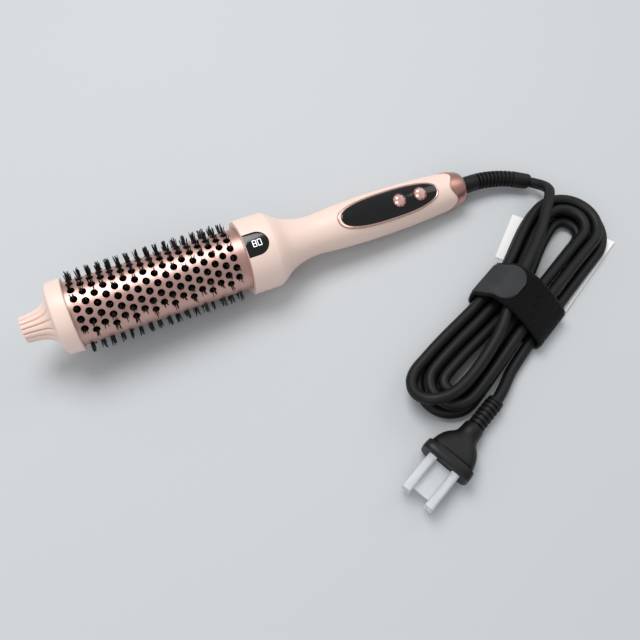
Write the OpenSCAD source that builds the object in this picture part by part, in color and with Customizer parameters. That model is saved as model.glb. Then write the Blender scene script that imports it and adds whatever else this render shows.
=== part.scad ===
// Heated round thermal brush: perforated barrel with bristle tufts, cool tip,
// two-part handle with display, panel and buttons, and a hanked mains cord.
// Millimetres, +Z up. The brush lies on the table (z = 0) along X, cord end +X.
// Brush pieces are drawn along +X from the tip (distance s), panel towards +Z,
// and are then laid down by laid(), which pitches and rolls them as they rest.

/* [Barrel] */
// Outer radius of the perforated barrel
barrel_r = 16; // [15.5:0.1:16.4]
// Wall of the barrel
barrel_wall = 0.8; // [0.6:0.1:1]
// Rings of holes along the barrel
ring_count = 17; // [13:1:17]
// Holes in each ring
ring_holes = 20; // [16:2:20]
// Distance from ring to ring
ring_pitch = 4.77; // [4.4:0.01:4.8]
// Diameter of each hole
hole_d = 3.6; // [3.2:0.1:3.8]

/* [Bristles] */
// Radius that the bristle ends reach
bristle_r = 20.6; // [19:0.1:20.8]
// Width of a bristle tuft at its root
tuft_root = 1.6; // [1.2:0.1:1.8]
// Width of a bristle tuft at its end
tuft_end = 1.1; // [0.6:0.1:1.4]
// Lean of the tufts, sideways at the ends
tuft_lean = 0.5; // [0:0.1:0.8]

/* [Cool tip] */
// Length of the tip from its neck to the barrel
tip_len = 23.4; // [22:0.1:26]
// Radius of the disc that covers the barrel's end
disc_r = 18.5; // [17.5:0.1:19.2]
// Length of the disc
disc_len = 7.7; // [6:0.1:9]
// Number of flutes round the neck
flute_count = 16; // [12:1:18]
// Depth of a flute
flute_depth = 0.6; // [0.3:0.1:0.9]

/* [Handle] */
// Distance from the tip to the collar
collar_start = 110; // [108:0.5:112]
// Radius of the collar
collar_r = 19.8; // [19.6:0.1:20.4]
// Thickness of the handle's wall
wall = 2.2; // [1.6:0.1:2.6]
// Radius of the handle at its waist
waist_r = 10.7; // [10.4:0.1:11.5]
// Radius of the handle at the middle of its grip
grip_r = 12.5; // [12:0.1:13.5]
// Radius of the handle's rear end
tail_r = 8; // [7.6:0.1:8.6]

/* [Panel and buttons] */
// Length of the control panel
panel_len = 58.6; // [54:0.2:60]
// Width of the control panel
panel_w = 15; // [14:0.2:16]
// Width of the trim ring round the panel
trim_w = 0.9; // [0.6:0.1:1.2]
// Height of the panel above the handle
panel_rise = 0.35; // [0.2:0.05:0.6]
// Diameter of the button caps
button_d = 7.4; // [6.8:0.2:8]
// Diameter of the jewels on the buttons
jewel_d = 6.6; // [5.6:0.2:6.8]
// Travel of the buttons
button_travel = 0.8; // [0.4:0.1:0.8]
// Width of the display window
display_w = 12.3; // [11:0.1:13]
// Length of the display window
display_len = 12; // [10:0.5:13]

/* [Cord and plug] */
// Diameter of the cord
cord_d = 5.8; // [5.4:0.1:5.8]
// Distance between the plug's blades
blade_pitch = 12.7; // [12:0.1:13]
// Length of the plug's blades
blade_len = 17.5; // [15:0.5:18]
// Width of the tie round the hank
tie_w = 24; // [20:1:26]

/* [Hidden] */
$fn = 64;

// How the brush rests: pitch of its axis, roll of the panel, place of its tip
rest_pitch = 4.8;
panel_roll = 17;
tip_x = -120.6;
tip_z = 29.94;

// Clearances and small common sizes
fit_gap = 0.1;
free_gap = 0.3;
bore_r = 2.1;
far = 60;

// Barrel and what it holds
first_ring = tip_len + 3.6;
barrel_in = barrel_r - barrel_wall;
barrel_start = tip_len;
barrel_end = collar_start + 8;
sleeve_r = barrel_in - 0.8;
sleeve_wall = 2;
sleeve_in = sleeve_r - sleeve_wall;
hole_r = hole_d / 2;
sleeve_start = first_ring - ring_pitch / 2;
sleeve_end = first_ring + (ring_count - 0.5) * ring_pitch;
cell_turn = 360 / (2 * ring_holes);
// The barrel's seam: a strip along it with no holes or tufts, and its middle's turn
seam_turn = 76.5;
seam_half = 18;
function hole_turn(k, j) = (2 * j + (k + 1) % 2) * cell_turn;
function on_seam(k, j) = abs(hole_turn(k, j) - seam_turn) < seam_half;
spigot_len = 1.1;
core_r = sleeve_in - fit_gap;
core_start = sleeve_start + 5;
core_end = sleeve_end - 5;
plate_w = 11;
plate_t = 2.4;
plate_len = 58;
plate_z = 6;
film_t = 0.3;
probe_y = 8.4;

// Handle: outer outline as [distance, radius]
handle_end = 241;
cap_start = handle_end - 11.1;
cap_back = handle_end - 5;
cap_wall = 1.2;
cavity_end = handle_end - 9;
cap_scallop_r = 5.5;
cap_scallop_s = handle_end - 12.8;
collar_back = collar_start + 16;
grip_start = collar_back + 19;
// Place at a share of the handle from the waist's start to its rear end, out of 96
function grip(share) = grip_start + (handle_end - grip_start) * share / 96;
outline = [
    [collar_start, collar_r - 0.6], [collar_start + 0.4, collar_r - 0.15],
    [collar_start + 12, collar_r], [collar_back - 1, collar_r - 0.1],
    [collar_back + 1, collar_r - 0.8], [collar_back + 3, collar_r - 2.3],
    [collar_back + 6, waist_r + 4.6], [collar_back + 10, waist_r + 2.5],
    [collar_back + 14, waist_r + 1], [grip_start, waist_r + 0.2],
    [grip(5), waist_r], [grip(11), waist_r + 0.35], [grip(19), (waist_r + grip_r) / 2 + 0.15],
    [grip(29), grip_r - 0.25], [grip(41), grip_r], [grip(51), grip_r - 0.05],
    [grip(61), grip_r - 0.3], [grip(71), grip_r - 0.75], [grip(79), grip_r - 1.25],
    [grip(87), grip_r - 2], [grip(91), grip_r - 2.8], [grip(94.5), tail_r + 0.9],
    [handle_end, tail_r]];

// Panel, buttons and boards
panel_s = handle_end - 48.9;
panel_power = 2.5;
panel_t = 1.6;
button_s = [panel_s + 5.7, panel_s + 18.3];
button_r = button_d / 2;
button_top = grip_r + 0.9;
cap_low = 8.2;
board_top = 3.6;
board_t = 1.6;
board_start = handle_end - 71;
board_end = board_start + 49;
board_w = 16;
boss_r = 2.6;
boss_s = [board_start + 6, board_end - 4];
switch_w = 6;
plunger_top = cap_low - button_travel - fit_gap;
lens_t = 1.5;
display_s = collar_start + 0.2;
display_board_z = barrel_r + free_gap;
display_board_t = 0.7;
digit_t = 0.6;
screw_s = [board_start - 16, board_end + 4.4];
screw_r = 1.4;
screw_head_r = 2.4;
wire_r = 0.9;

// Swivel and strain relief
swivel_start = handle_end - 8.7;
swivel_disc_t = 2;
sleeve_out_r = 4.9;
sleeve_bore_r = sleeve_out_r + free_gap;
relief_plain = 8;
relief_bend_r = 53;
relief_turn = 38;
relief_core_r = 3.9;
relief_rib_r = 4.8;
relief_ribs = 8;
rib_w = 2.2;

// Cord: a lead from the relief to the hank, the hank, and a tail from it to the plug.
// Routes are [along the hank, across it, height] from the middle of its tie.
hank_x = tip_x + handle_end - 10;
hank_y = -76.2;
hank_turn = 25;
hank_sides = 6;
cord_sides = 8;
loop_rings = 24;
run_rings = 4;
hank_rings = 111;
reverse_ring = 50;
layer_low = 3.4;
layer_step = 6.3;
tie_lift = 1.1;
track = 6.5;
run_half = 57.6;
near_bend_r = 6;
far_bend_r = 3.4;
waist_half = 1.1;
near_shift = 5;
lead_steps = 3;
lead_points = [[75.8, 29.2, 7.6], [72.8, 25.4, 11.6], [66.4, 22.6, 15.9], [57.6, 20, 16.2],
    [48.8, 16, 16.4], [38.8, 12.6, 16.5], [29.5, 10.4, 16.9], [17.7, 8, 17.3], [5, 5, 17.3],
    [-8, 1.5, 17.2],
    [-22, -3, 16.9], [-38.8, -5.5, 16.3], [-55, -6, 16.1], [-66, -4, 16.1],
    [-73.8, 2, 14.9], [-75, 9.5, 12], [-70.5, 15.2, 10.3]];

// Tie, tags and plug
tie_t = 1.2;
tie_outline = [[-22.5, 3], [-19.5, 0], [17.5, 0], [20.7, 3], [20.7, 12], [16, 16], [10.5, 21.8],
    [-2, 21.8], [-12.5, 16.6], [-22.5, 9.5]];
tag_t = 0.3;
plug_x = hank_x - 36;
plug_y = -117.3;
plug_z = 6;
plug_turn = 204;
plug_rise = 7.5;
plug_relief_len = 18;
plug_relief_r = 4.4;
plug_ribs = 5;
neck_len = 8;
flare_len = 11;
flange_len = 6;
flange_w = 26;
flange_h = 15;
groove = 0.5;
blade_w = 6.35;
blade_t = 1.5;
guard_len = 20;
guard_wall = 1.1;
guard_play = 0.35;

// Height of the handle's outline at a distance, and the outline moved in or out
function outline_r(s) = lookup(s, outline);
function offset_outline(by) = [for (p = outline) [p[0], p[1] + by]];
// The outline moved in or out, from one distance to another
function outline_part(from, to, by) = concat([[from, outline_r(from) + by]],
    [for (p = offset_outline(by)) if (p[0] > from && p[0] < to) p], [[to, outline_r(to) + by]]);

// Lays a brush piece down as it rests on the table
module laid() {
    translate([tip_x, 0, tip_z]) rotate([0, rest_pitch, 0]) children();
}
module rolled() {
    laid() rotate([panel_roll, 0, 0]) children();
}
// Solid of revolution about the brush axis from [distance, radius] points
module lathe(points) {
    rotate([0, 90, 0]) rotate_extrude($fn = 96) polygon(
        concat([[0, points[0][0]]], [for (p = points) [p[1], p[0]]],
        [[0, points[len(points) - 1][0]]]));
}
// Straight round piece along the brush axis
module rod(from, to, r, y = 0, z = 0) {
    translate([from, y, z]) rotate([0, 90, 0]) cylinder(h = to - from, r = r);
}

module cool_tip() {
    disc_start = tip_len - disc_len;
    neck = [[0, 6.1], [0.5, 6.55], [3, 6.8], [6, 7.15], [disc_start - 6.7, 8],
        [disc_start - 4.7, 9], [disc_start - 2.7, 10.9], [disc_start - 0.7, disc_r - 3.5],
        [disc_start, disc_r - 0.6]];
    color("#e9b3b4") rolled() difference() {
        union() {
            lathe(concat(neck, [[disc_start + 0.3, disc_r - 0.3], [tip_len, disc_r]]));
            rod(tip_len - 1, tip_len + spigot_len, barrel_in - fit_gap);
        }
        for (k = [0:flute_count - 1]) rotate([k * 360 / flute_count, 0, 0])
            rotate([90, 0, 0]) linear_extrude(1.1, center = true) polygon(concat(
                [for (p = neck) [p[0], p[1] - flute_depth]],
                [[disc_start - 0.2, disc_r + 2], [0, disc_r + 2]]));
        rod(-1, tip_len + 2, bore_r);
        rod(-1, 6, 4.2);
    }
}

module barrel() {
    color("#d49a80") rolled() {
        ring(barrel_start, sleeve_start);
        for (k = [0:ring_count - 1]) difference() {
            ring(sleeve_start + k * ring_pitch, sleeve_start + (k + 1) * ring_pitch);
            for (j = [0:ring_holes - 1]) if (!on_seam(k, j)) rotate([hole_turn(k, j), 0, 0])
                translate([first_ring + k * ring_pitch, 0, barrel_r - 3])
                    cylinder(h = 5, r = hole_r, $fn = 16);
        }
        ring(sleeve_end, barrel_end);
    }
}
module ring(from, to) {
    difference() {
        rod(from, to, barrel_r);
        rod(from - 1, to + 1, barrel_in);
    }
}

// Bristle tufts: a slice of sleeve whose every second cell carries a tapered tuft.
// Points go row by row: the cell corners, then the inner wall's two rings, then the tufts.
tuft_cols = 2 * ring_holes;
function polar(s, r, a) = [s, -r * sin(a), r * cos(a)];
function corner(i, j) = i * tuft_cols + j % tuft_cols;
function inner(e, j) = (ring_count + 1 + e) * tuft_cols + j % tuft_cols;
tuft_cells = [for (i = [0:ring_count - 1]) for (n = [0:ring_holes - 1]) if (!on_seam(i, n)) [i, n]];
function tuft(q) = (ring_count + 3) * tuft_cols + 8 * q;
function tuft_points(s, a, way) = concat(
    [for (q = [[-1, -1], [1, -1], [1, 1], [-1, 1]])
        polar(s + q[0] * tuft_root / 2, sleeve_r, a + q[1] * tuft_root / 2 / sleeve_r * 57.3)],
    [for (q = [[-1, -1], [1, -1], [1, 1], [-1, 1]])
        polar(s + way * tuft_lean + q[0] * tuft_end / 2, bristle_r,
            a + way * 1.2 + q[1] * tuft_end / 2 / bristle_r * 57.3)]);
module bristles() {
    points = concat(
        [for (i = [0:ring_count]) for (j = [0:tuft_cols - 1])
            polar(sleeve_start + i * ring_pitch, sleeve_r, (j - 0.5) * cell_turn)],
        [for (e = [0, 1]) for (j = [0:tuft_cols - 1])
            polar(e == 0 ? sleeve_start : sleeve_end, sleeve_in, (j - 0.5) * cell_turn)],
        [for (c = tuft_cells) each tuft_points(first_ring + c[0] * ring_pitch,
            hole_turn(c[0], c[1]), (c[0] + c[1]) % 2 == 0 ? 1 : -1)]);
    plain = [for (i = [0:ring_count - 1]) for (n = [0:ring_holes - 1]) each concat(
        cell(i, 2 * n + i % 2), on_seam(i, n) ? cell(i, 2 * n + (i + 1) % 2) : [])];
    raised = [for (q = [0:len(tuft_cells) - 1])
        let (i = tuft_cells[q][0], j = 2 * tuft_cells[q][1] + (i + 1) % 2, t = tuft(q),
            rim = [corner(i, j), corner(i + 1, j), corner(i + 1, j + 1), corner(i, j + 1)])
        each concat(
            [for (q = [0:3]) each quad(rim[q], rim[(q + 1) % 4], t + (q + 1) % 4, t + q)],
            [for (q = [0:3]) each quad(t + q, t + (q + 1) % 4, t + 4 + (q + 1) % 4, t + 4 + q)],
            quad(t + 4, t + 5, t + 6, t + 7))];
    ends = [for (j = [0:tuft_cols - 1]) each concat(
        quad(corner(0, j), corner(0, j + 1), inner(0, j + 1), inner(0, j)),
        quad(inner(0, j), inner(0, j + 1), inner(1, j + 1), inner(1, j)),
        quad(inner(1, j), inner(1, j + 1), corner(ring_count, j + 1), corner(ring_count, j)))];
    color("#201d1c") rolled() polyhedron(points, concat(plain, raised, ends));
}
// A bare cell of the sleeve
function cell(i, j) = quad(corner(i, j), corner(i + 1, j), corner(i + 1, j + 1), corner(i, j + 1));
// Two triangles that fill a four-cornered face
function quad(a, b, c, d) = [[a, b, c], [a, c, d]];

module spindle() {
    color("silver") rolled() {
        rod(5, barrel_end + 5, bore_r - fit_gap);
        rod(3, 5.9, 3.6);
    }
}
module spindle_nut() {
    color("silver") rolled() difference() {
        translate([barrel_end, 0, 0]) rotate([0, 90, 0]) cylinder(h = 3.2, r = 4, $fn = 6);
        rod(barrel_end - 1, barrel_end + 4, bore_r);
    }
}
module front_bushing() {
    color("ivory") rolled() difference() {
        union() {
            rod(tip_len + spigot_len, sleeve_start - 0.05, 13);
            rod(tip_len + spigot_len, core_start, core_r);
        }
        rod(tip_len, core_start + 1, bore_r);
    }
}
module rear_bushing() {
    color("ivory") rolled() difference() {
        union() {
            rod(core_end, barrel_end, core_r);
            rod(sleeve_end, barrel_end, barrel_in - fit_gap);
        }
        rod(core_end - 1, barrel_end + 1, bore_r);
        for (y = [-probe_y, probe_y]) rod(core_end - 1, barrel_end + 1, 1.6, y);
    }
}
module heat_spreader() {
    color("#b8babd") rolled() difference() {
        rod(core_start, core_end, core_r);
        rod(core_start - 1, core_end + 1, bore_r);
        for (z = [-plate_z, plate_z]) translate([plate_from() - film_t, 0, z])
            rotate([90, 0, 90]) linear_extrude(far * 2) square([plate_w + 2 * film_t,
                plate_t + 2 * film_t], center = true);
        for (y = [-probe_y, probe_y]) rod(core_end - 16, core_end + 1, 1.7, y);
    }
}
function plate_from() = (core_start + core_end - plate_len) / 2;
module plate(z, grow, from, to) {
    translate([from, -plate_w / 2 - grow, z - plate_t / 2 - grow])
        cube([to - from, plate_w + 2 * grow, plate_t + 2 * grow]);
}
module heater_plate(z) {
    color("#555a60") rolled() plate(z, 0, plate_from(), core_end - 0.5);
}
module heater_film(z) {
    color("#c77b22") rolled() difference() {
        plate(z, film_t - 0.02, plate_from() - 0.02, core_end - 0.2);
        plate(z, 0, plate_from() - 1, core_end + 1);
    }
}
module heater_plate_upper() { heater_plate(plate_z); }
module heater_plate_lower() { heater_plate(-plate_z); }
module heater_film_upper() { heater_film(plate_z); }
module heater_film_lower() { heater_film(-plate_z); }
module temperature_sensor() {
    color("#1e1e1e") rolled() rod(core_end - 14, core_end + 4, 1.4, probe_y);
}
module thermal_fuse() {
    color("white") rolled() rod(core_end - 15, core_end + 4, 1.5, -probe_y);
}

// Handle: one shell, split along the plane of its axis
module handle_shell() {
    difference() {
        lathe(outline);
        rod(collar_start - 1, collar_start + 2.1, barrel_r + fit_gap);
        lathe(concat([[collar_start + 2, collar_r - wall]],
            outline_part(collar_start + 12, cavity_end, -wall)));
        rod(cavity_end - 1, handle_end + 1, tail_r - 0.4);
        cap_skin(1);
        intersection() {
            panel_slab(1);
            panel_prism(trim_w, 5);
        }
        translate([display_s, 0, 10]) linear_extrude(far) display_outline(0.05);
        for (s = button_s) translate([s, 0, 0]) cylinder(h = far, r = button_r + free_gap);
        rod(cap_back, handle_end + 1, grip_r);
    }
}
module half_space(up) {
    translate([collar_start - 5, -far / 2, up ? 0 : -far / 2])
        cube([handle_end - collar_start + 9, far, far / 2]);
}
module handle_upper() {
    color("#ecb7b8") rolled() intersection() {
        union() {
            handle_shell();
            for (s = screw_s) intersection() {
                translate([s, 0, 0]) cylinder(h = far / 2, r = boss_r + 0.8);
                lathe(offset_outline(-wall + 0.5));
            }
        }
        difference() {
            half_space(true);
            for (s = screw_s) translate([s, 0, -1]) cylinder(h = 7, r = screw_r - 0.1);
        }
    }
}
module handle_lower() {
    color("#ecb7b8") rolled() intersection() {
        union() {
            handle_shell();
            for (s = screw_s) intersection() {
                translate([s, 0, -far / 2]) cylinder(h = far / 2, r = boss_r + 0.8);
                lathe(offset_outline(-wall + 0.5));
            }
            for (s = boss_s) intersection() {
                translate([s, 0, -far / 2]) cylinder(h = far / 2 + board_top - board_t, r = boss_r);
                lathe(offset_outline(-wall + 0.5));
            }
        }
        difference() {
            union() {
                half_space(false);
                for (s = boss_s) translate([s, 0, -1])
                    cylinder(h = 1 + board_top - board_t, r = boss_r + 0.1);
            }
            for (s = screw_s) {
                translate([s, 0, -far]) cylinder(h = far + 1, r = screw_r + fit_gap);
                translate([s, 0, -far]) cylinder(h = far - 5, r = screw_head_r + fit_gap);
            }
        }
    }
}
module handle_screws() {
    color("silver") rolled() for (s = screw_s) {
        translate([s, 0, -5]) cylinder(h = 10, r = screw_r - 0.1);
        translate([s, 0, -6.6]) cylinder(h = 1.6, r = screw_head_r);
    }
}

module display_outline(grow) {
    w = display_w / 2 + grow;
    translate([-grow, -w]) square([display_len - w + 2 * grow, 2 * w]);
    translate([display_len - w + grow, 0]) circle(r = w);
}
module display_lens() {
    color("#141014") rolled() intersection() {
        difference() {
            lathe(outline);
            lathe([for (p = offset_outline(-lens_t)) if (p[0] < collar_back + 14) [p[0] - 1, p[1]]]);
        }
        translate([display_s, 0, 10]) linear_extrude(far) display_outline(0);
    }
}
module display_board() {
    color("seagreen") rolled() translate([collar_start + 2.3, -4.2, display_board_z])
        cube([8.4, 8.4, display_board_t]);
}
module digit_block() {
    color("#222222") rolled() translate([collar_start + 3, -3, display_board_z + display_board_t])
        cube([6, 6, digit_t]);
}

// Control panel: a long oval with full ends, following the grip's surface
function oval(a, b) = [for (k = [0:71]) let (c = cos(k * 5), s = sin(k * 5))
    [sign(c) * a * pow(abs(c), 2 / panel_power), sign(s) * b * pow(abs(s), 2 / panel_power)]];
module panel_prism(grow, low) {
    translate([panel_s, 0, low]) linear_extrude(far)
        polygon(oval(panel_len / 2 + grow, panel_w / 2 + grow));
}
module panel_slab(rise) {
    difference() {
        lathe(offset_outline(rise));
        lathe(outline_part(panel_s - panel_len / 2 - 4, panel_s + panel_len / 2 + 4, -panel_t));
    }
}
module panel() {
    color("#0d0c0d") rolled() difference() {
        intersection() {
            panel_slab(panel_rise);
            panel_prism(0, 5);
        }
        for (s = button_s) translate([s, 0, 0]) cylinder(h = far, r = button_r + free_gap);
    }
}
module panel_trim() {
    color("#cf9a83") rolled() intersection() {
        panel_slab(panel_rise + 0.15);
        difference() {
            panel_prism(trim_w, 5);
            panel_prism(0.01, 4);
        }
    }
}
module button_cap(s) {
    color("#d9a08c") rolled() {
        translate([s, 0, cap_low]) cylinder(h = button_top - cap_low, r = button_r);
    }
}
module jewel(s) {
    color("#e58fa0") rolled() translate([s, 0, button_top])
        cylinder(h = 1.3, r1 = jewel_d / 2, r2 = jewel_d / 4, $fn = 10);
}
module power_button() { button_cap(button_s[0]); }
module mode_button() { button_cap(button_s[1]); }
module power_jewel() { jewel(button_s[0]); }
module mode_jewel() { jewel(button_s[1]); }

module control_board() {
    color("seagreen") rolled() translate([board_start, -board_w / 2, board_top - board_t])
        cube([board_end - board_start, board_w, board_t]);
}
module button_switches() {
    color("#3a3a3c") rolled() for (s = button_s) {
        translate([s - switch_w / 2, -switch_w / 2, board_top]) cube([switch_w, switch_w, 2.6]);
        translate([s, 0, board_top]) cylinder(h = plunger_top - board_top, r = 1.7);
    }
}
module capacitor() {
    color("#27408b") rolled() rod(board_start + 2, board_start + 14, 3, 0, board_top + 3);
}
module power_switch_chip() {
    color("#1c1c1e") rolled() translate([board_start + 16, -4, board_top]) cube([6, 8, 3]);
}
module heater_wires() {
    color("#c9463d") rolled() for (y = [-4.5, 4.5])
        rod(barrel_end, board_start, wire_r, y, board_top - board_t / 2);
}
module supply_wires() {
    color("#3b6fb5") rolled() for (y = [-4.6, 4.6])
        rod(board_end, handle_end - 13, wire_r, y, board_top - board_t / 2);
}

// Tail cap: a skin over the handle's end with a scalloped front edge
module cap_skin(grow) {
    difference() {
        lathe(outline_part(cap_start, handle_end, grow));
        lathe(outline_part(cap_start - 1, cap_back, -cap_wall));
        for (k = [0:3]) rotate([45 + 7 + k * 90, 0, 0]) translate([cap_scallop_s, 0, 5])
            cylinder(h = 10, r = cap_scallop_r);
    }
}
module tail_cap() {
    color("#d8a08a") rolled() difference() {
        cap_skin(0);
        rod(cap_start, handle_end + 1, sleeve_bore_r);
    }
}
module contact_carrier() {
    color("ivory") rolled() rod(handle_end - 13, swivel_start - 0.3, 7.4);
}
module swivel_sleeve() {
    color("#2b2b2d") laid() {
        rod(swivel_start, swivel_start + swivel_disc_t, 7);
        rod(swivel_start + swivel_disc_t, handle_end, sleeve_out_r);
    }
}
module strain_relief() {
    rib_step = relief_turn / relief_ribs;
    color("#232324") laid() translate([handle_end, 0, 0]) {
        rod(0, relief_plain, relief_rib_r);
        translate([relief_plain, -relief_bend_r, 0]) {
            rotate([0, 0, 90 - relief_turn]) rotate_extrude(angle = relief_turn)
                translate([relief_bend_r, 0]) circle(r = relief_core_r, $fn = 32);
            for (k = [1:relief_ribs])
                rotate([0, 0, -min((k - 0.5) * rib_step, relief_turn - asin(rib_w / 2 / relief_bend_r))])
                    translate([0, relief_bend_r, 0]) rotate([0, 90, 0])
                        cylinder(h = rib_w, r = relief_rib_r - 0.1 * k, center = true, $fn = 32);
        }
    }
}

function unit(v) = v / norm(v);
function mix(a, b, f) = a + (b - a) * f;
function smooth(f) = f <= 0 ? 0 : f >= 1 ? 1 : f * f * (3 - 2 * f);
function swell(f) = pow(sin(180 * f), 2);
// How many tracks out from the innermost loop a ring of the hank lies
function spread(k) = abs(k - reverse_ring) / loop_rings;
function near_r(k) = near_bend_r + track * spread(k);
function far_r(k) = far_bend_r + track * spread(k);
function layer(k) = layer_low + layer_step * (1 - smooth((k - reverse_ring) / run_rings + 0.5));
// A point on a run: f goes from the far bend to the near one, side is +1 or -1
function run_point(k, f, side) =
    let (waist = waist_half + track * spread(k), sag = waist - (far_r(k) + near_r(k)) / 2)
    [mix(-run_half, run_half, f), side * (mix(far_r(k), near_r(k), f) + sag * swell(f))
        + near_shift * smooth(2 * f - 1), layer(k) + tie_lift * swell(f)];
function bend_point(k, r, a, end) =
    [end * run_half + r * cos(a), r * sin(a) + (end > 0 ? near_shift : 0), layer(k)];
function hank_point(k) = let (p = k % loop_rings, step = 22.5)
    p < 4 ? run_point(k, p / 4, 1)
    : p < 12 ? bend_point(k, near_r(k), 90 - (p - 4) * step, 1)
    : p < 16 ? run_point(k, (16 - p) / 4, -1)
    : bend_point(k, far_r(k), 270 - (p - 16) * step, -1);
hank_points = [for (k = [0:hank_rings]) hank_point(k)];

// Smooth curve through points, with a number of steps from point to point
function spline(p, steps) = let (n = len(p) - 1) concat(
    [for (i = [0:n - 1]) for (q = [0:steps - 1])
        let (t = q / steps, a = p[max(i - 1, 0)], b = p[i], c = p[i + 1], d = p[min(i + 2, n)])
        b + ((c - a) * t + (2 * a - 5 * b + 4 * c - d) * t * t
            + (3 * b - 3 * c + d - a) * t * t * t) / 2], [p[n]]);
// Straight ends of one diameter, with the curve through the points between them
function run_to(from, way, points, to, way_in) = concat([from],
    spline(concat([from + cord_d * way], points, [to - cord_d * way_in]), lead_steps), [to]);
// Table coordinates to the hank's own, and the turn alone for directions
function turned(v, a) = [v[0] * cos(a) - v[1] * sin(a), v[0] * sin(a) + v[1] * cos(a), v[2]];
function to_hank(v) = turned(v - [hank_x, hank_y, 0], -hank_turn);
function pitched(v) = [v[0] * cos(rest_pitch) + v[2] * sin(rest_pitch), v[1],
    v[2] * cos(rest_pitch) - v[0] * sin(rest_pitch)];
relief_way = pitched([cos(relief_turn), -sin(relief_turn), 0]);
relief_tip = [tip_x, 0, tip_z] + pitched([handle_end + relief_plain
    + relief_bend_r * sin(relief_turn), -relief_bend_r * (1 - cos(relief_turn)), 0]);
plug_way = [cos(plug_turn), sin(plug_turn), 0];
lead_route = run_to(to_hank(relief_tip), turned(relief_way, -hank_turn), lead_points,
    hank_points[0], unit(hank_points[1] - hank_points[0]));
tail_route = run_to(hank_points[hank_rings],
    unit(hank_points[hank_rings] - hank_points[hank_rings - 1]), [],
    to_hank([plug_x, plug_y, plug_z]), turned(plug_way, -hank_turn));

// Tube along a route: each ring keeps the sense of the ring before it
function along(p, i) = unit(i == 0 ? p[1] - p[0] : i == len(p) - 1 ? p[i] - p[i - 1]
    : unit(p[i + 1] - p[i]) + unit(p[i] - p[i - 1]));
function square_to(n, t) = unit(n - t * (n * t));
function normals(p) = [for (i = 0, n = square_to([0, 0, 1], along(p, 0)); i < len(p);
    i = i + 1, n = i < len(p) ? square_to(n, along(p, i)) : n) n];
module tube(p, r, sides) {
    n = normals(p);
    last = (len(p) - 1) * sides;
    points = [for (i = [0:len(p) - 1]) for (q = [0:sides - 1])
        let (a = q * 360 / sides) p[i] + r * (n[i] * cos(a) + cross(along(p, i), n[i]) * sin(a))];
    walls = [for (i = [0:len(p) - 2]) for (q = [0:sides - 1])
        let (b = i * sides, c = (q + 1) % sides) each quad(b + c, b + q, b + sides + q, b + sides + c)];
    polyhedron(points, concat(walls, [for (q = [1:sides - 2]) [0, q, q + 1]],
        [for (q = [1:sides - 2]) [last, last + q + 1, last + q]]));
}
module in_hank() {
    translate([hank_x, hank_y, 0]) rotate([0, 0, hank_turn]) children();
}
module cord_lead() {
    color("#262627") in_hank() tube(lead_route, cord_d / 2, cord_sides);
}
module cord_tail() {
    color("#262627") in_hank() tube(tail_route, cord_d / 2, cord_sides);
}
// The hank's least gap to itself, on points along it, for pairs further apart than a bend
function between(p, n) = [for (i = [0:len(p) - 2]) for (q = [0:n - 1]) mix(p[i], p[i + 1], q / n)];
function least_gap(p, skip) = min([for (i = [0:len(p) - skip - 1])
    min([for (j = [i + skip:len(p) - 1]) norm(p[i] - p[j])])]) - cord_d;
module cord_hank() {
    echo(least_gap_of_hank_to_itself = least_gap(between(hank_points, 3), 24));
    color("#262627") in_hank() tube(hank_points, cord_d / 2, hank_sides);
}
module cable_tie() {
    color("#1c1c1d") in_hank() rotate([90, 0, 90]) linear_extrude(tie_w, center = true)
        difference() {
            polygon(tie_outline);
            offset(delta = -tie_t) polygon(tie_outline);
        }
}
module left_tag() {
    color("white") translate([hank_x + 33, -23.7, 0]) rotate([0, 0, 220.6])
        cube([31.4, 14, tag_t]);
}
module right_tag() {
    color("white") translate([hank_x + 20, -86.3, 0]) rotate([0, 0, 27.3])
        cube([59, 12, tag_t]);
}

// Plug: drawn along +X from the end of its relief, blades last
body_start = plug_relief_len;
flare_start = body_start + neck_len;
flange_start = flare_start + flare_len;
face = flange_start + flange_len;
module plugged() {
    translate([plug_x, plug_y, plug_z]) rotate([0, 0, plug_turn]) children();
}
module rounded(w, h, r) {
    for (x = [-1, 1]) for (y = [-1, 1]) translate([x * (w / 2 - r), y * (h / 2 - r)]) circle(r = r);
    square([w - 2 * r, h], center = true);
    square([w, h - 2 * r], center = true);
}
module section(from, len, w, h, r, lift) {
    translate([from, 0, lift]) rotate([90, 0, 90]) linear_extrude(len) rounded(w, h, r);
}
module plug_relief() {
    rib = plug_relief_len / (plug_ribs + 0.5);
    color("#232324") plugged() {
        rod(0, plug_relief_len, plug_relief_r - 0.7);
        for (k = [0:plug_ribs - 1]) rod((k + 0.6) * rib, (k + 1.1) * rib, plug_relief_r);
    }
}
module plug_body() {
    color("#262627") plugged() {
        rod(body_start, flare_start, plug_relief_r + 0.6);
        hull() {
            section(flare_start - 2, 0.5, 9, 9, 4, 0, $fn = 32);
            section(flange_start - 1, 0.5, flange_w - 5, flange_h - 3, 4, plug_rise - plug_z, $fn = 32);
        }
        section(flange_start - 1, 1 + groove, flange_w - 4, flange_h - 2, 4, plug_rise - plug_z);
        section(flange_start + groove, flange_len - groove, flange_w, flange_h, 4, plug_rise - plug_z);
    }
}
module plug_blades() {
    color("silver") plugged() for (y = [-1, 1]) difference() {
        translate([face, y * blade_pitch / 2 - blade_t / 2, plug_rise - plug_z - blade_w / 2])
            cube([blade_len, blade_t, blade_w]);
        translate([face + blade_len - 3.5, 0, plug_rise - plug_z]) rotate([90, 0, 0])
            cylinder(h = far, r = 1.6, center = true);
    }
}
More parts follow.
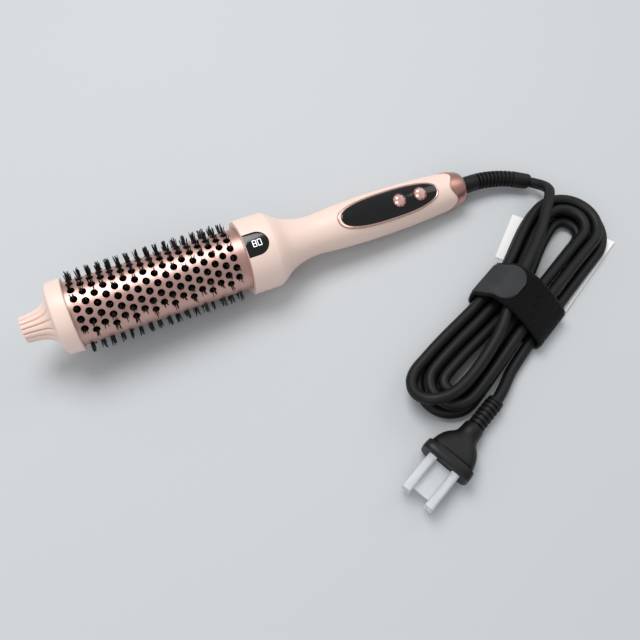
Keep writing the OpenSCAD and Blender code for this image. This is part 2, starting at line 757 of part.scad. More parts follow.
module blade_guard() {
    hole_t = blade_t + 2 * guard_play;
    hole_w = blade_w + 2 * guard_play;
    color("#e8ecef", 0.5) plugged() translate([face + guard_play, 0, plug_rise - plug_z]) {
        for (y = [-1, 1]) translate([0, y * blade_pitch / 2, 0]) rotate([90, 0, 90])
            linear_extrude(guard_len) difference() {
                rounded(hole_t + 2 * guard_wall, hole_w + 2 * guard_wall, 1);
                square([hole_t, hole_w], center = true);
            }
        translate([0, -(blade_pitch - hole_t) / 2 + guard_wall, -0.7])
            cube([guard_len - 3, blade_pitch - hole_t - 2 * guard_wall, 1.4]);
    }
}
cool_tip();
barrel();
bristles();
spindle();
spindle_nut();
front_bushing();
rear_bushing();
heat_spreader();
heater_plate_upper();
heater_plate_lower();
heater_film_upper();
heater_film_lower();
temperature_sensor();
thermal_fuse();
handle_upper();
handle_lower();
handle_screws();
display_lens();
display_board();
digit_block();
panel();
panel_trim();
power_button();
power_jewel();
mode_button();
mode_jewel();
control_board();
button_switches();
capacitor();
power_switch_chip();
heater_wires();
supply_wires();
tail_cap();
contact_carrier();
swivel_sleeve();
strain_relief();
cord_lead();
cord_hank();
cord_tail();
cable_tie();
left_tag();
right_tag();
plug_relief();
plug_body();
plug_blades();
blade_guard();
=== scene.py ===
import bmesh
import bpy
import math
from mathutils import Matrix, Vector


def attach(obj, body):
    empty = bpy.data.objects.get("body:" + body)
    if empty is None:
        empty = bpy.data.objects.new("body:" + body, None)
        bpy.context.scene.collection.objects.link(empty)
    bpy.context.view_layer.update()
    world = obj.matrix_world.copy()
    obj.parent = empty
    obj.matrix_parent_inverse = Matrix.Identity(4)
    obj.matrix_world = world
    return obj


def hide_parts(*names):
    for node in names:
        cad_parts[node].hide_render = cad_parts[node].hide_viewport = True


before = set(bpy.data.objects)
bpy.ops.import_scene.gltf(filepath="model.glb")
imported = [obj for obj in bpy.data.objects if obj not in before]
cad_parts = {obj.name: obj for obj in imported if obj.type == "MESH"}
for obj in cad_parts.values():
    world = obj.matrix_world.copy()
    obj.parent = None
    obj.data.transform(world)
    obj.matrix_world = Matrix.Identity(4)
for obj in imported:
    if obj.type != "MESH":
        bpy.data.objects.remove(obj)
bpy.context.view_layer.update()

# ---------------------------------------------------------------- table, light and camera
# The brush lies on a plain pale table under one large window-like lamp and two soft
# fill lamps. The camera looks down at it as in the photograph.
CAMERA_PLACE = Vector((-0.045, -0.173, 0.3045))
CAMERA_DOWN = math.radians(64.31)
CAMERA_HEADING = math.radians(24.27)
LENS = 36.0
SENSOR = 36.0
TABLE_TOP = -0.0002
TABLE_HALF = 3.0


def linear(red, green, blue):
    """Screen colour, 0 to 255, as Blender's linear colour."""
    def one(c):
        c = c / 255
        return c / 12.92 if c <= 0.04045 else ((c + 0.055) / 1.055) ** 2.4
    return (one(red), one(green), one(blue), 1.0)


def make_object(name, data, finish=None):
    """Object in the scene, with its material where one is given."""
    if finish:
        data.materials.append(finish)
    made = bpy.data.objects.new(name, data)
    bpy.context.scene.collection.objects.link(made)
    return made


def new_material(name):
    """Material with nodes on, its node tree and its shader."""
    material = bpy.data.materials.new(name)
    material.use_nodes = True
    tree = material.node_tree
    return material, tree, tree.nodes["Principled BSDF"]


def add_camera():
    data = bpy.data.cameras.new("camera")
    data.lens = LENS
    data.sensor_width = SENSOR
    data.sensor_fit = "HORIZONTAL"
    data.clip_start = 0.01
    camera = make_object("camera", data)
    look = Vector((
        math.cos(CAMERA_DOWN) * math.sin(CAMERA_HEADING),
        math.cos(CAMERA_DOWN) * math.cos(CAMERA_HEADING),
        -math.sin(CAMERA_DOWN),
    ))
    camera.location = CAMERA_PLACE
    camera.rotation_euler = look.to_track_quat("-Z", "Y").to_euler()
    bpy.context.scene.camera = camera


def add_lamp(name, place, target, size, power):
    data = bpy.data.lights.new(name, "AREA")
    data.shape = "DISK"
    data.size = size
    data.energy = power
    lamp = make_object(name, data)
    lamp.location = place
    aim = Vector(target) - Vector(place)
    lamp.rotation_euler = aim.to_track_quat("-Z", "Y").to_euler()


def add_table():
    mesh = bpy.data.meshes.new("table")
    half = TABLE_HALF
    corners = [(-half, -half), (half, -half), (half, half), (-half, half)]
    mesh.from_pydata([(x, y, TABLE_TOP) for x, y in corners], [], [(0, 1, 2, 3)])
    table = make_object("table", mesh)
    material, _, shader = new_material("pale table")
    shader.inputs["Base Color"].default_value = linear(196, 199, 201)
    shader.inputs["Roughness"].default_value = 0.9
    shader.inputs["Specular IOR Level"].default_value = 0.2
    mesh.materials.append(material)


add_camera()
add_lamp("key lamp", (-0.03, 0.33, 0.95), (-0.02, 0.0, 0.0), 0.62, 6.8)
add_lamp("fill lamp", (-0.6, -0.5, 0.75), (-0.05, 0.0, 0.0), 0.7, 1.9)
add_lamp("cord lamp", (0.75, 0.1, 0.6), (0.08, -0.05, 0.0), 0.5, 1.0)
add_table()
world = bpy.data.worlds.new("soft room")
world.use_nodes = True
sky = world.node_tree.nodes["Background"]
sky.inputs["Color"].default_value = (0.9, 0.92, 0.95, 1)
sky.inputs["Strength"].default_value = 0.5
bpy.context.scene.world = world
bpy.context.scene.view_settings.view_transform = "Standard"

# ---------------------------------------------------------------- how the brush lies
# The brush is drawn along its own axis, from the tip, with its panel facing up. It rests
# on its collar and the rear of its grip, so the axis dips, and it is rolled to the camera.
TIP = Vector((-0.1206, 0.0, 0.02994))
REST_PITCH = math.radians(4.8)
PANEL_ROLL = math.radians(17)
MM = 0.001


def on_axis(along, side=0.0, up=0.0):
    """Point of the brush before it is rolled, in millimetres, as a place on the table."""
    laid = Matrix.Rotation(REST_PITCH, 3, "Y") @ Vector((along, side, up))
    return TIP + laid * MM


def on_brush(along, turn, radius):
    """Point at a distance from the tip, a turn from the panel's middle and a radius."""
    angle = math.radians(turn) + PANEL_ROLL
    return on_axis(along, -radius * math.sin(angle), radius * math.cos(angle))


def grid_mesh(name, rows, closed=True, caps=(False, False)):
    """Mesh through rows of points; closed joins each row's end to its start."""
    count = len(rows[0])
    points = [p for row in rows for p in row]
    faces = []
    for i in range(len(rows) - 1):
        for j in range(count if closed else count - 1):
            k = (j + 1) % count
            faces.append((i * count + j, i * count + k, (i + 1) * count + k, (i + 1) * count + j))
    if caps[0]:
        faces.append(tuple(reversed(range(count))))
    if caps[1]:
        faces.append(tuple(range((len(rows) - 1) * count, len(rows) * count)))
    mesh = bpy.data.meshes.new(name)
    mesh.from_pydata([tuple(p) for p in points], [], faces)
    return mesh


def face_outwards(mesh):
    work = bmesh.new()
    work.from_mesh(mesh)
    bmesh.ops.remove_doubles(work, verts=work.verts, dist=1e-7)
    bmesh.ops.recalc_face_normals(work, faces=work.faces)
    work.to_mesh(mesh)
    work.free()


def smooth(mesh, sharp_angle):
    for face in mesh.polygons:
        face.use_smooth = True
    mesh.set_sharp_from_angle(angle=math.radians(sharp_angle))


def solid_mesh(name, rows, sharp_angle, caps=(False, False)):
    """Closed skin through rows of points, facing outwards and smoothly shaded."""
    mesh = grid_mesh(name, rows, caps=caps)
    face_outwards(mesh)
    smooth(mesh, sharp_angle)
    return mesh


def lathe_rows(profile, sides=128):
    """Rows of points round the brush axis from (distance, radius) pairs."""
    return [[on_brush(s, -360 * j / sides, r) for j in range(sides)] for s, r in profile]


def around(sides, offset=0.0):
    """Evenly spaced angles of one full turn."""
    return [2 * math.pi * (j + offset) / sides for j in range(sides)]


def squared(angle, fullness):
    """Point of a rounded box of half width 1: fullness 2 is a circle, more is squarer."""
    c, s = math.cos(angle), math.sin(angle)
    return (math.copysign(abs(c) ** (2 / fullness), c),
            math.copysign(abs(s) ** (2 / fullness), s))


def through(points, steps=6):
    """Smooth curve through a few points, as more points."""
    out = []
    last = len(points) - 1
    for i in range(last):
        a, b = Vector(points[max(i - 1, 0)]), Vector(points[i])
        c, d = Vector(points[i + 1]), Vector(points[min(i + 2, last)])
        for q in range(steps):
            t = q / steps
            out.append(b + ((c - a) * t + (2 * a - 5 * b + 4 * c - d) * t * t
                            + (3 * b - 3 * c + d - a) * t ** 3) / 2)
    out.append(Vector(points[last]))
    return out


# ---------------------------------------------------------------- mains cord
# Round black cord of soft vinyl, folded into a hank of long loops and tied. It leaves the
# strain relief, hooks back over the hank and under the tie, and ends in the plug.
CORD_D = 0.0058
HANDLE_END = 241
HANK_MIDDLE = Vector((0.1104, -0.0762, 0.0))
HANK_TURN = math.radians(25)
RELIEF_PLAIN = 8.0
RELIEF_BEND_R = 53.0
RELIEF_TURN = math.radians(38)
LEAD_POINTS = [
    (75.8, 29.2, 7.6), (72.8, 25.4, 11.6), (66.4, 22.6, 15.9), (57.6, 20, 16.2),
    (48.8, 16, 16.4), (38.8, 12.6, 16.5), (29.5, 10.4, 16.9), (17.7, 8, 17.3), (5, 5, 17.3),
    (-8, 1.5, 17.2),
    (-22, -3, 16.9), (-38.8, -5.5, 16.3), (-55, -6, 16.1), (-66, -4, 16.1),
    (-73.8, 2, 14.9), (-75, 9.5, 12), (-70.5, 15.2, 10.3)]
EASED_LEAD = 45
LOOP_RINGS = 24
HANK_RINGS = 111
REVERSE_RING = 50
LAYER_LOW = 3.4
LAYER_STEP = 6.3
TIE_LIFT = 1.1
TRACK = 6.5
RUN_HALF = 57.6
NEAR_BEND_R = 6.0
FAR_BEND_R = 3.4
WAIST_HALF = 1.1
NEAR_SHIFT = 5.0
PLUG_PLACE = Vector((0.0744, -0.1173, 0.006))
PLUG_TURN = math.radians(204)


def ease(f):
    f = min(max(f, 0.0), 1.0)
    return f * f * (3 - 2 * f)


def in_hank(point):
    """Place on the table of a point given along, across and above the hank."""
    return HANK_MIDDLE + Matrix.Rotation(HANK_TURN, 3, "Z") @ (Vector(point) * MM)


def hank_point(k):
    """Point of the hank at ring k: two runs and two bends a loop, in two layers."""
    spread = TRACK * abs(k - REVERSE_RING) / LOOP_RINGS
    near, far = NEAR_BEND_R + spread, FAR_BEND_R + spread
    height = LAYER_LOW + LAYER_STEP * (1 - ease((k - REVERSE_RING) / 4 + 0.5))
    phase = k % LOOP_RINGS
    if phase < 4 or 12 <= phase < 16:
        f, side = (phase / 4, 1) if phase < 4 else ((16 - phase) / 4, -1)
        swell = math.sin(math.pi * f) ** 2
        across = far + (near - far) * f + (WAIST_HALF + spread - (far + near) / 2) * swell
        return (-RUN_HALF + 2 * RUN_HALF * f, side * across + NEAR_SHIFT * ease(2 * f - 1),
                height + TIE_LIFT * swell)
    if phase < 12:
        angle = math.radians(90 - (phase - 4) * 22.5)
        return (RUN_HALF + near * math.cos(angle), near * math.sin(angle) + NEAR_SHIFT, height)
    angle = math.radians(270 - (phase - 16) * 22.5)
    return (-RUN_HALF + far * math.cos(angle), far * math.sin(angle), height)


def run_to(start, way, between, end, way_in):
    """Straight ends of one diameter, with a smooth curve through the points between."""
    middle = [start + way * CORD_D] + between + [end - way_in * CORD_D]
    return [start] + through(middle, 6) + [end]


relief_end = on_axis(HANDLE_END + RELIEF_PLAIN + RELIEF_BEND_R * math.sin(RELIEF_TURN),
                     -RELIEF_BEND_R * (1 - math.cos(RELIEF_TURN)))
relief_way = Matrix.Rotation(REST_PITCH, 3, "Y") @ Vector(
    (math.cos(RELIEF_TURN), -math.sin(RELIEF_TURN), 0))
plug_way = Vector((math.cos(PLUG_TURN), math.sin(PLUG_TURN), 0))
hank_line = [in_hank(hank_point(k / 8)) for k in range(0, HANK_RINGS * 8 + 1)]
lead_line = run_to(relief_end, relief_way, [in_hank(p) for p in LEAD_POINTS], hank_line[0],
                   (in_hank(hank_point(1)) - hank_line[0]).normalized())
tail_line = run_to(hank_line[-1], (hank_line[-1] - hank_line[-2]).normalized(), [],
                   PLUG_PLACE, plug_way)


def relaxed(line, passes, step=0.0012):
    """Evenly spaced points on a line, with its tight corners eased; its ends stay."""
    points, spare = [line[0]], 0.0
    for a, b in zip(line, line[1:]):
        reach = (b - a).length
        at = step - spare
        while at <= reach:
            points.append(a.lerp(b, at / reach))
            at += step
        spare = reach - (at - step)
    points.append(line[-1])
    for _ in range(passes):
        eased = [p.lerp((before + after) / 2, 0.5)
                 for before, p, after in zip(points, points[1:], points[2:])]
        points = points[:3] + eased[2:-2] + points[-3:]
    return points


# Only the lead's first part, where it leaves the relief, is eased strongly.
cord_line = relaxed(relaxed(lead_line[:EASED_LEAD + 1], passes=70)[:-1]
                    + lead_line[EASED_LEAD:-1] + hank_line
                    + relaxed(tail_line, passes=30)[1:], passes=8)


def add_cord():
    curve = bpy.data.curves.new("cord", "CURVE")
    curve.dimensions = "3D"
    curve.bevel_depth = CORD_D / 2
    curve.bevel_resolution = 3
    curve.use_fill_caps = True
    spline = curve.splines.new("POLY")
    spline.points.add(len(cord_line) - 1)
    for place, point in zip(cord_line, spline.points):
        point.co = (*place, 1.0)
    spline.use_smooth = True
    return make_object("cord", curve)


def add_node(tree, kind, links=None, **settings):
    """New node in a tree, with its settings and its links from {input: socket or value}."""
    node = tree.nodes.new(kind)
    for key, value in settings.items():
        setattr(node, key, value)
    for key, value in (links or {}).items():
        if isinstance(value, bpy.types.NodeSocket):
            tree.links.new(value, node.inputs[key])
        else:
            node.inputs[key].default_value = value
    return node


def vinyl(name, colour, roughness, speck=0.05, bump=0.15, scale=900, shine=0.5):
    """Moulded plastic: a fine grain in its bump and a little wear in its gloss and tone."""
    material, tree, shader = new_material(name)
    place = add_node(tree, "ShaderNodeTexCoord").outputs["Object"]
    grain = add_node(tree, "ShaderNodeTexNoise", {"Scale": scale, "Detail": 3, "Vector": place})
    worn = add_node(tree, "ShaderNodeTexNoise", {"Scale": 60, "Vector": place}).outputs["Fac"]
    gloss = add_node(tree, "ShaderNodeMapRange", {
        "To Min": roughness - 0.08, "To Max": roughness + 0.08, "Value": worn})
    tree.links.new(gloss.outputs["Result"], shader.inputs["Roughness"])
    tone = add_node(tree, "ShaderNodeMix", {
        "A": [c * (1 - speck) for c in colour[:3]] + [1],
        "B": [min(1, c * (1 + speck)) for c in colour[:3]] + [1],
        "Factor": worn}, data_type="RGBA")
    tree.links.new(tone.outputs["Result"], shader.inputs["Base Color"])
    relief = add_node(tree, "ShaderNodeBump", {
        "Strength": bump, "Distance": 0.0001, "Height": grain.outputs["Fac"]})
    tree.links.new(relief.outputs["Normal"], shader.inputs["Normal"])
    shader.inputs["Specular IOR Level"].default_value = shine
    return material


black_vinyl = vinyl("black cord vinyl", linear(16, 16, 17), 0.5, shine=0.28)
cord = add_cord()
cord.data.materials.append(black_vinyl)
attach(cord, "cord")
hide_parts("cord_lead", "cord_hank", "cord_tail")

# ---------------------------------------------------------------- strain relief
# One black rubber moulding that turns with the swivel: a plain root, nine ribs along a
# bend, and an end collar where the cord comes out.


def relief_centre(distance):
    """Point, forward way and side way of the relief's middle line at a distance along it."""
    if distance <= RELIEF_PLAIN:
        turn, along, side = 0.0, HANDLE_END + distance, 0.0
    else:
        turn = (distance - RELIEF_PLAIN) / RELIEF_BEND_R
        along = HANDLE_END + RELIEF_PLAIN + RELIEF_BEND_R * math.sin(turn)
        side = -RELIEF_BEND_R * (1 - math.cos(turn))
    tilt = Matrix.Rotation(REST_PITCH, 3, "Y")
    return (on_axis(along, side), tilt @ Vector((math.sin(turn), math.cos(turn), 0)),
            tilt @ Vector((0, 0, 1)))


def relief_profile():
    """Pairs of distance along the relief and radius: root, ribs, collar."""
    pairs = [(0, 3.2), (0, 4.7), (0.4, 4.85), (10.6, 4.75), (11, 4.5), (11.1, 3.9)]
    start = 11.6
    for k in range(9):
        top = 4.72 - 0.03 * k
        pairs += [(start, 3.8), (start + 0.3, top), (start + 1.4, top), (start + 1.7, 3.8)]
        start += 2.35
    return pairs + [(start, 3.8), (start + 0.3, 4.5), (41.5, 4.3), (42.7, 3.9), (43.1, 3.5),
                    (43.1, 2.9)]


def sweep(profile, centre, sides):
    """Rings round a middle line, from pairs of distance along it and radius."""
    rows = []
    for distance, radius in profile:
        middle, side, up = centre(distance)
        rows.append([middle + (side * math.cos(a) + up * math.sin(a)) * radius * MM
                     for a in around(sides)])
    return rows


relief_mesh = solid_mesh("strain relief", sweep(relief_profile(), relief_centre, 48), 50)
rubber = vinyl("black moulded rubber", linear(14, 14, 15), 0.5, shine=0.3)
strain_relief = make_object("strain_relief_moulding", relief_mesh, rubber)
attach(strain_relief, "cord")
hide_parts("strain_relief")

# ---------------------------------------------------------------- cable tie
# Black hook-and-loop tape wrapped once round the hank's waist and pressed onto itself.
# Short fibres stand up all over it, and a hook patch, painted paler for its sheen, shows where the tape ends.
TIE_W = 24.0
TIE_T = 1.2
CORNER = 3.0
TIE_OUTLINE = [(-22.5, 3), (-19.5, 0), (17.5, 0), (20.7, 3), (20.7, 12), (16, 16), (10.5, 21.8),
               (-2, 21.8), (-12.5, 16.6), (-22.5, 9.5)]


def rounded_outline(points, cut=0.34, steps=5):
    """Closed outline with each corner, 3 mm each way at most, replaced by a curve."""
    out = []
    count = len(points)
    for i in range(count):
        before, here, after = (Vector(points[(i + d) % count]) for d in (-1, 0, 1))
        start = here + (before - here) * min(cut, CORNER / (before - here).length)
        end = here + (after - here) * min(cut, CORNER / (after - here).length)
        for q in range(steps + 1):
            t = q / steps
            out.append(start * (1 - t) ** 2 + here * 2 * t * (1 - t) + end * t * t)
    return out


def tie_ring(along, inset):
    """The tape's outline at a place along the hank, drawn in by inset."""
    ring = []
    line = rounded_outline(TIE_OUTLINE)
    for i, point in enumerate(line):
        ahead, behind = line[(i + 1) % len(line)], line[i - 1]
        way = (ahead - behind).normalized()
        inward = Vector((-way.y, way.x))
        ring.append(in_hank((along, *(point + inward * inset))))
    return ring


def tie_mesh():
    half = TIE_W / 2
    outside = [(-half, TIE_T), (-half, 0.25), (-half + 0.3, 0.02)]
    outside += [(-half + TIE_W * k / 16, 0.02) for k in range(1, 16)]
    outside += [(half - 0.3, 0.02), (half, 0.25), (half, TIE_T)]
    rows = [tie_ring(along, inset) for along, inset in outside]
    rows.append(tie_ring(-half, TIE_T))
    return solid_mesh("tie tape", rows, 60)


def nylon_loops():
    """Black nylon pile: fine loops, darker between them, with a soft sheen."""
    material = vinyl("nylon pile", linear(10, 10, 11), 0.9, speck=0.5, bump=1.0, scale=1600,
                     shine=0.1)
    shader = material.node_tree.nodes["Principled BSDF"]
    shader.inputs["Sheen Weight"].default_value = 0.12
    shader.inputs["Sheen Roughness"].default_value = 0.5
    return material


def new_tree(name, inputs):
    """Geometry tree with named inputs, a geometry in and a geometry out."""
    tree = bpy.data.node_groups.new(name, "GeometryNodeTree")
    tree.interface.new_socket("Geometry", in_out="INPUT", socket_type="NodeSocketGeometry")
    for socket, kind in inputs:
        tree.interface.new_socket(socket, in_out="INPUT", socket_type="NodeSocket" + kind)
    tree.interface.new_socket("Geometry", in_out="OUTPUT", socket_type="NodeSocketGeometry")
    return tree, tree.nodes.new("NodeGroupInput").outputs


def random_vector(tree, seed, low, high):
    toss = add_node(tree, "FunctionNodeRandomValue", {"Seed": seed}, data_type="FLOAT_VECTOR")
    toss.inputs["Min"].default_value = low
    toss.inputs["Max"].default_value = high
    return toss.outputs["Value"]


def vector_math(tree, operation, inputs):
    """Socket with a vector worked out from {input: socket or value}."""
    return add_node(tree, "ShaderNodeVectorMath", inputs, operation=operation).outputs["Vector"]


def stand_up(tree, given, points, way, sides, tip_radius, scale=None):
    """Ends a tree: a tapered strand on each point, along way, realized and coated."""
    turn = add_node(tree, "FunctionNodeAlignRotationToVector", {"Vector": way}, axis="Z")
    strand = add_node(tree, "GeometryNodeMeshCone", {
        "Vertices": sides, "Radius Top": tip_radius, "Radius Bottom": given["Thickness"],
        "Depth": given["Length"]}, fill_type="NGON")
    settings = {"Points": points, "Instance": strand.outputs["Mesh"],
                "Rotation": turn.outputs["Rotation"]}
    if scale:
        settings["Scale"] = scale
    stood = add_node(tree, "GeometryNodeInstanceOnPoints", settings)
    solid = add_node(tree, "GeometryNodeRealizeInstances", {
        "Geometry": stood.outputs["Instances"]})
    coated = add_node(tree, "GeometryNodeSetMaterial", {
        "Geometry": solid.outputs["Geometry"], "Material": given["Material"]})
    add_node(tree, "NodeGroupOutput", {"Geometry": coated.outputs["Geometry"]})


def grow(carrier, tree, values):
    """Runs a tree on an object and keeps the result as its plain mesh."""
    modifier = carrier.modifiers.new(tree.name, "NODES")
    modifier.node_group = tree
    for item in tree.interface.items_tree:
        if item.in_out == "INPUT" and item.name in values:
            modifier[item.identifier] = values[item.name]
    evaluated = carrier.evaluated_get(bpy.context.evaluated_depsgraph_get())
    mesh = bpy.data.meshes.new_from_object(evaluated)
    carrier.modifiers.remove(modifier)
    carrier.data = mesh


def pile_tree():
    """Short fibres that stand up at random out of a surface."""
    tree, given = new_tree("pile", [
        ("Density", "Float"), ("Thickness", "Float"), ("Length", "Float"), ("Lean", "Float"),
        ("Seed", "Int"), ("Material", "Material")])
    spots = add_node(tree, "GeometryNodeDistributePointsOnFaces", {
        "Mesh": given["Geometry"], "Density": given["Density"], "Seed": given["Seed"]})
    toss = random_vector(tree, given["Seed"], (-1, -1, -1), (1, 1, 1))
    lean = vector_math(tree, "SCALE", {0: toss, "Scale": given["Lean"]})
    way = vector_math(tree, "ADD", {0: spots.outputs["Normal"], 1: lean})
    stand_up(tree, given, spots.outputs["Points"], way, 3, 0.00002)
    return tree


PATCH_STEP = 0.7
PATCH_ROUND = 8.0
PATCH_LIFT = 0.75
PATCH_EDGE_LIFT = 0.1
PATCH_HALF_COLUMNS = 8


def patch_mesh():
    """The tape's hook end: a thin tongue with a round end, pressed over the first turn."""
    over_the_top = rounded_outline(TIE_OUTLINE)[24:43]
    path = relaxed(over_the_top, step=PATCH_STEP, passes=2)
    half = TIE_W / 2 - TIE_T
    sides = range(-PATCH_HALF_COLUMNS, PATCH_HALF_COLUMNS + 1)
    rows = []
    for i, point in enumerate(path):
        ahead, behind = path[min(i + 1, len(path) - 1)], path[max(i - 1, 0)]
        way = (ahead - behind).normalized()
        outward = Vector((way.y, -way.x))
        to_end = PATCH_STEP * (len(path) - 1 - i)
        width = half * math.sqrt(max(0.02, 1 - max(0.0, 1 - to_end / PATCH_ROUND) ** 2))
        row = []
        for k in sides:
            inner = 0 < i < len(path) - 1 and abs(k) < PATCH_HALF_COLUMNS
            raised = point + outward * (PATCH_LIFT if inner else PATCH_EDGE_LIFT)
            row.append(in_hank((width * k / PATCH_HALF_COLUMNS, *raised)))
        rows.append(row)
    mesh = grid_mesh("tie patch", rows, closed=False)
    smooth(mesh, 60)
    return mesh


loop_pile = nylon_loops()
cable_tie = make_object("cable_tie_tape", tie_mesh(), loop_pile)
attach(cable_tie, "cord")
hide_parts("cable_tie")
fuzz = make_object("cable_tie_pile", cable_tie.data.copy())
grow(fuzz, pile_tree(), {"Density": 3.2e6, "Thickness": 0.00007, "Length": 0.0008, "Lean": 0.9,
                         "Seed": 11, "Material": loop_pile})
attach(fuzz, "cord")
# The hooks' grey tone is painted sheen on the black tape; their gloss is also set higher than the pile's.
hooks_with_painted_sheen = vinyl("nylon hooks with painted sheen", linear(50, 51, 53), 0.7, speck=0.7, bump=1.0, scale=2200,
                    shine=0.3)
hook_patch = make_object("cable_tie_hook_patch", patch_mesh(), hooks_with_painted_sheen)
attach(hook_patch, "cord")

# ---------------------------------------------------------------- plug
# Two-blade plug moulded onto the cord: ribbed relief, slim neck, a body that widens to a
# flange with a groove round it, and two nickel-plated blades under a milky clear guard.
PLUG_RISE = 1.5


def in_plug(along, side, up):
    return PLUG_PLACE + Matrix.Rotation(PLUG_TURN, 3, "Z") @ (Vector((along, side, up)) * MM)


def plug_section(along, width, height, fullness, lift, sides=48):
    """Rounded cross-section of the plug."""
    shape = [squared(a, fullness) for a in around(sides)]
    return [in_plug(along, c * width / 2, s * height / 2 + lift) for c, s in shape]


def plug_body_mesh():
    shape = [
        (18, 6, 6, 2, 0), (18, 9.6, 9.6, 2, 0), (18.4, 10.2, 10, 2, 0), (22, 10.6, 9.8, 2.1, 0),
        (24.5, 11.4, 9.7, 2.2, 0.1), (26, 13.2, 9.9, 2.4, 0.2), (27.5, 15.8, 10.3, 2.6, 0.5),
        (29.2, 18.2, 10.8, 2.9, 0.8), (31.2, 20.2, 11.3, 3.2, 1.1), (33.6, 21.8, 11.9, 3.5, 1.3),
        (36.0, 22.8, 12.4, 3.8, PLUG_RISE), (36.9, 22.9, 12.5, 4, PLUG_RISE),
        (37.0, 21.6, 11.4, 4, PLUG_RISE), (37.6, 21.6, 11.4, 4, PLUG_RISE),
        (37.7, 24.8, 13.8, 4, PLUG_RISE),
        (38.1, 25.6, 14.6, 4.2, PLUG_RISE), (40.5, 26, 15, 4.4, PLUG_RISE),
        (42.4, 26, 15, 4.4, PLUG_RISE), (42.9, 25.2, 14.2, 4.4, PLUG_RISE),
        (43, 24, 13, 4.2, PLUG_RISE)]
    return solid_mesh("plug body", [plug_section(*part) for part in shape], 45, (True, True))


def plug_relief_mesh():
    pairs = [(0, 2.9), (0, 3.9), (0.3, 4.1), (1.6, 4.1), (1.9, 3.7)]
    start = 2.2
    for k in range(6):
        pairs += [(start, 3.5), (start + 0.3, 4.3), (start + 1.5, 4.35), (start + 1.8, 3.5)]
        start += 2.6
    pairs += [(start, 3.6), (18, 4.2)]

    def centre(distance):
        turn = Matrix.Rotation(PLUG_TURN, 3, "Z")
        return in_plug(distance, 0, 0), turn @ Vector((0, 1, 0)), Vector((0, 0, 1))

    return solid_mesh("plug relief", sweep(pairs, centre, 40), 50)


plug_plastic = vinyl("black plug vinyl", linear(17, 17, 18), 0.42, shine=0.3)
plug_body = make_object("plug_body_moulding", plug_body_mesh(), plug_plastic)
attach(plug_body, "cord")
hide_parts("plug_body")
plug_relief = make_object("plug_relief_moulding", plug_relief_mesh(), rubber)
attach(plug_relief, "cord")
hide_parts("plug_relief")


def metal(name, colour, roughness, grain=0.06, brushed=1.0, scale=400):
    """Metal or metallic paint with a fine grain in its gloss and its bump."""
    material, tree, shader = new_material(name)
    shader.inputs["Base Color"].default_value = colour
    shader.inputs["Metallic"].default_value = 1.0
    place = add_node(tree, "ShaderNodeTexCoord").outputs["Object"]
    stretch = add_node(tree, "ShaderNodeMapping", {"Scale": (brushed, 1, 1), "Vector": place})
    fine = add_node(tree, "ShaderNodeTexNoise", {
        "Scale": scale, "Detail": 2, "Vector": stretch.outputs["Vector"]}).outputs["Fac"]
    gloss = add_node(tree, "ShaderNodeMapRange", {
        "To Min": roughness - grain, "To Max": roughness + grain, "Value": fine})
    tree.links.new(gloss.outputs["Result"], shader.inputs["Roughness"])
    relief = add_node(tree, "ShaderNodeBump", {
        "Strength": 0.05, "Distance": 0.00005, "Height": fine})
    tree.links.new(relief.outputs["Normal"], shader.inputs["Normal"])
    return material


def finish_node(name, material):
    """Gives a piece that keeps its CAD shape its finish."""
    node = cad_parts[name]
    node.data.materials.clear()
    node.data.materials.append(material)
    return node


def clear_plastic():
    """Milky clear sleeve: light passes, blurred, and its edges look whiter."""
    material, tree, shader = new_material("milky clear sleeve")
    place = add_node(tree, "ShaderNodeTexCoord").outputs["Object"]
    haze = add_node(tree, "ShaderNodeTexNoise", {"Scale": 300, "Vector": place})
    blur = add_node(tree, "ShaderNodeMapRange", {
        "To Min": 0.3, "To Max": 0.42, "Value": haze.outputs["Fac"]})
    tree.links.new(blur.outputs["Result"], shader.inputs["Roughness"])
    shader.inputs["Base Color"].default_value = (0.93, 0.95, 0.97, 1)
    shader.inputs["Transmission Weight"].default_value = 0.62
    shader.inputs["IOR"].default_value = 1.06
    shader.inputs["Coat Weight"].default_value = 0.3
    return material


finish_node("plug_blades", metal("nickel-plated blades", linear(205, 203, 198), 0.28,
                                 brushed=0.05))
finish_node("blade_guard", clear_plastic())

# ---------------------------------------------------------------- tags
# Two blank white paper labels half under the hank. Each is a thin sheet that lies on the
# table, with its free edge curled up a little.
TAG_T = 0.3
RIGHT_TAG = {"corner": (20.0, -86.3), "turn": 27.3, "across": (-4.8, 12.0), "length": 59.0}
LEFT_TAG = {"corner": (33.0, -23.7), "turn": 220.6, "across": (0.0, 14.0), "length": 31.4}


def tag_mesh(name, tag, free_edge, curl):
    """Sheet with rows along its length; its free edge rises by curl in millimetres."""
    turn = Matrix.Rotation(math.radians(tag["turn"]), 3, "Z")
    corner = Vector((HANK_MIDDLE.x + tag["corner"][0] * MM, tag["corner"][1] * MM, 0))
    low, high = tag["across"]
    rows = []
    for i in range(13):
        across = low + (high - low) * i / 12
        near = max(0.0, 1 - abs(across - free_edge) / 6.0)
        row = []
        for j in range(17):
            along = tag["length"] * j / 16
            rise = curl * near ** 2 * (0.75 + 0.25 * math.sin(along * 0.21))
            row.append(corner + turn @ (Vector((along, across, 0.03 + rise)) * MM))
        rows.append(row)
    top = [[p + Vector((0, 0, TAG_T * 0.8 * MM)) for p in row] for row in rows]
    loop = [bottom + list(reversed(upper)) for bottom, upper in zip(rows, top)]
    return solid_mesh(name, loop, 40, (True, True))


label_paper = vinyl("white label paper", linear(240, 240, 238), 0.75, speck=0.02, bump=0.2,
                    scale=500)
for node_name, tag, free_edge, curl in (("right_tag", RIGHT_TAG, -4.8, 1.3),
                                        ("left_tag", LEFT_TAG, 14.0, 0.6)):
    sheet = make_object(node_name + "_paper", tag_mesh(node_name + " paper", tag, free_edge, curl), label_paper)
    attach(sheet, "cord")
    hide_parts(node_name)

